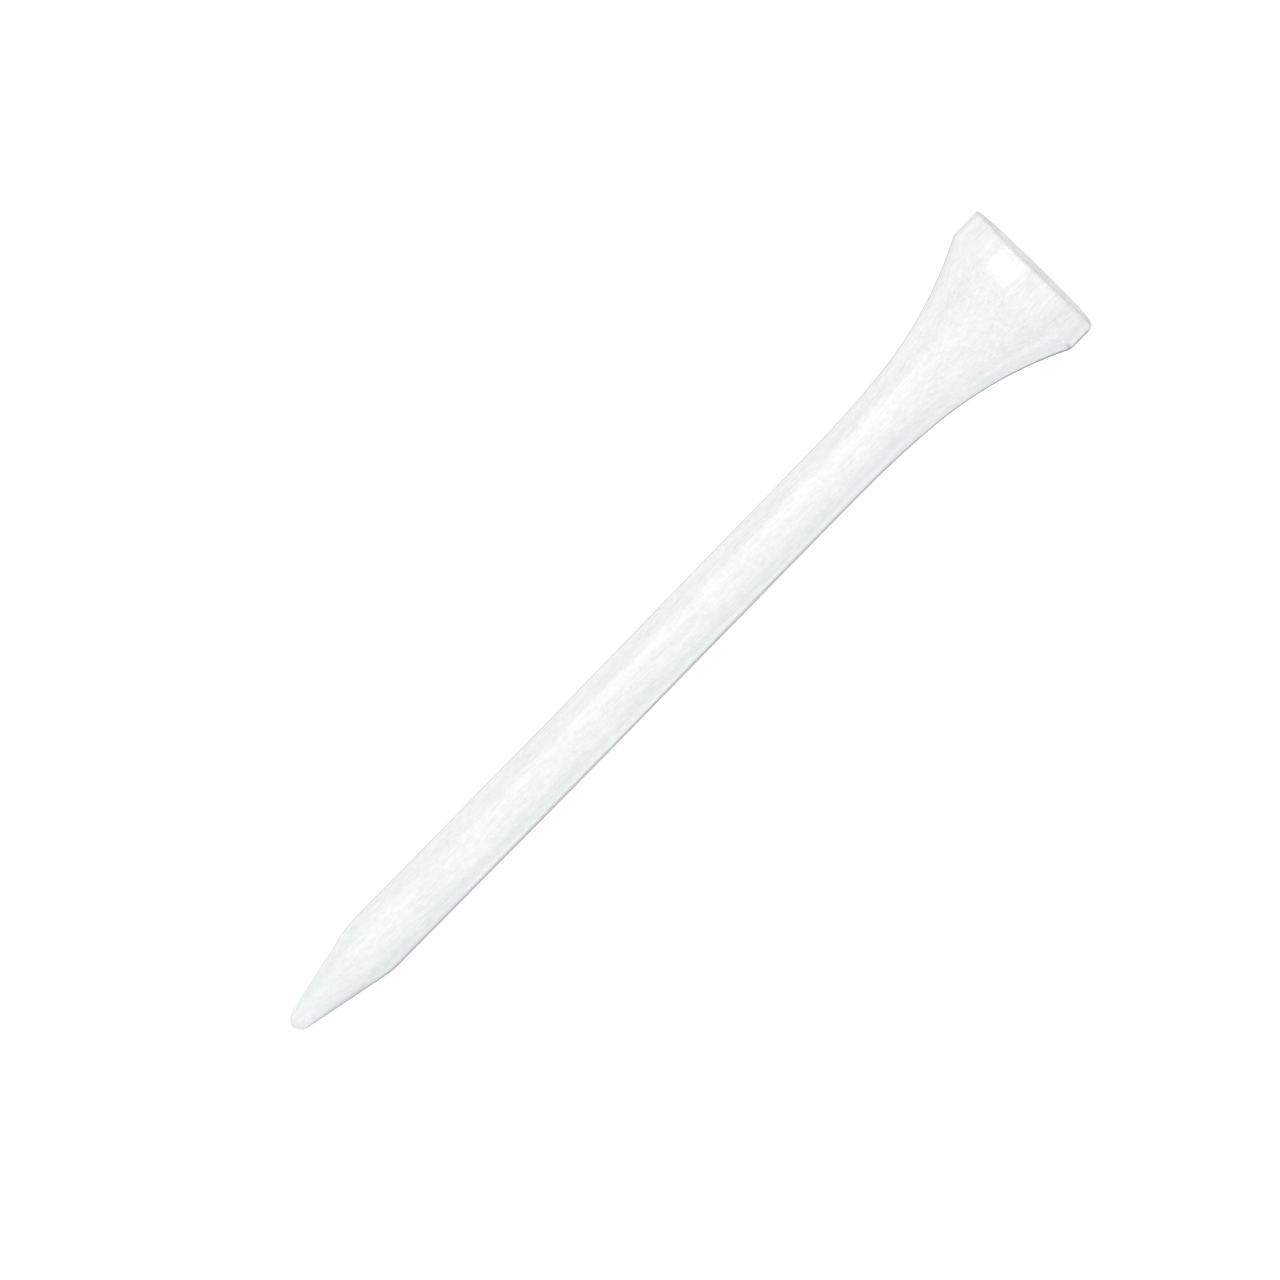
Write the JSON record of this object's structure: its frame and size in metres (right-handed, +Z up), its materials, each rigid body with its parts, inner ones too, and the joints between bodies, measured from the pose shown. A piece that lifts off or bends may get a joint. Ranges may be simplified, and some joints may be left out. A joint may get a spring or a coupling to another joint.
{
  "type": "golf tee",
  "caption": "Turned wooden peg with a blunt point, a straight shank and a flared head whose shallow cup holds a golf ball, finished in white lacquer.",
  "frame": {"origin": "the very point of the tee, on its axis", "axes": "+Z up the tee's axis, from the point to the cup; the tee is round, so +X and +Y are any two level directions"},
  "size_m": [0.0124, 0.0124, 0.0825],
  "materials": {
    "birch": "matte",
    "white_lacquer": "gloss"
  },
  "bodies": {
    "root": {"wood_body": "birch", "lacquer_coat": "white_lacquer"}
  },
  "joints": []
}
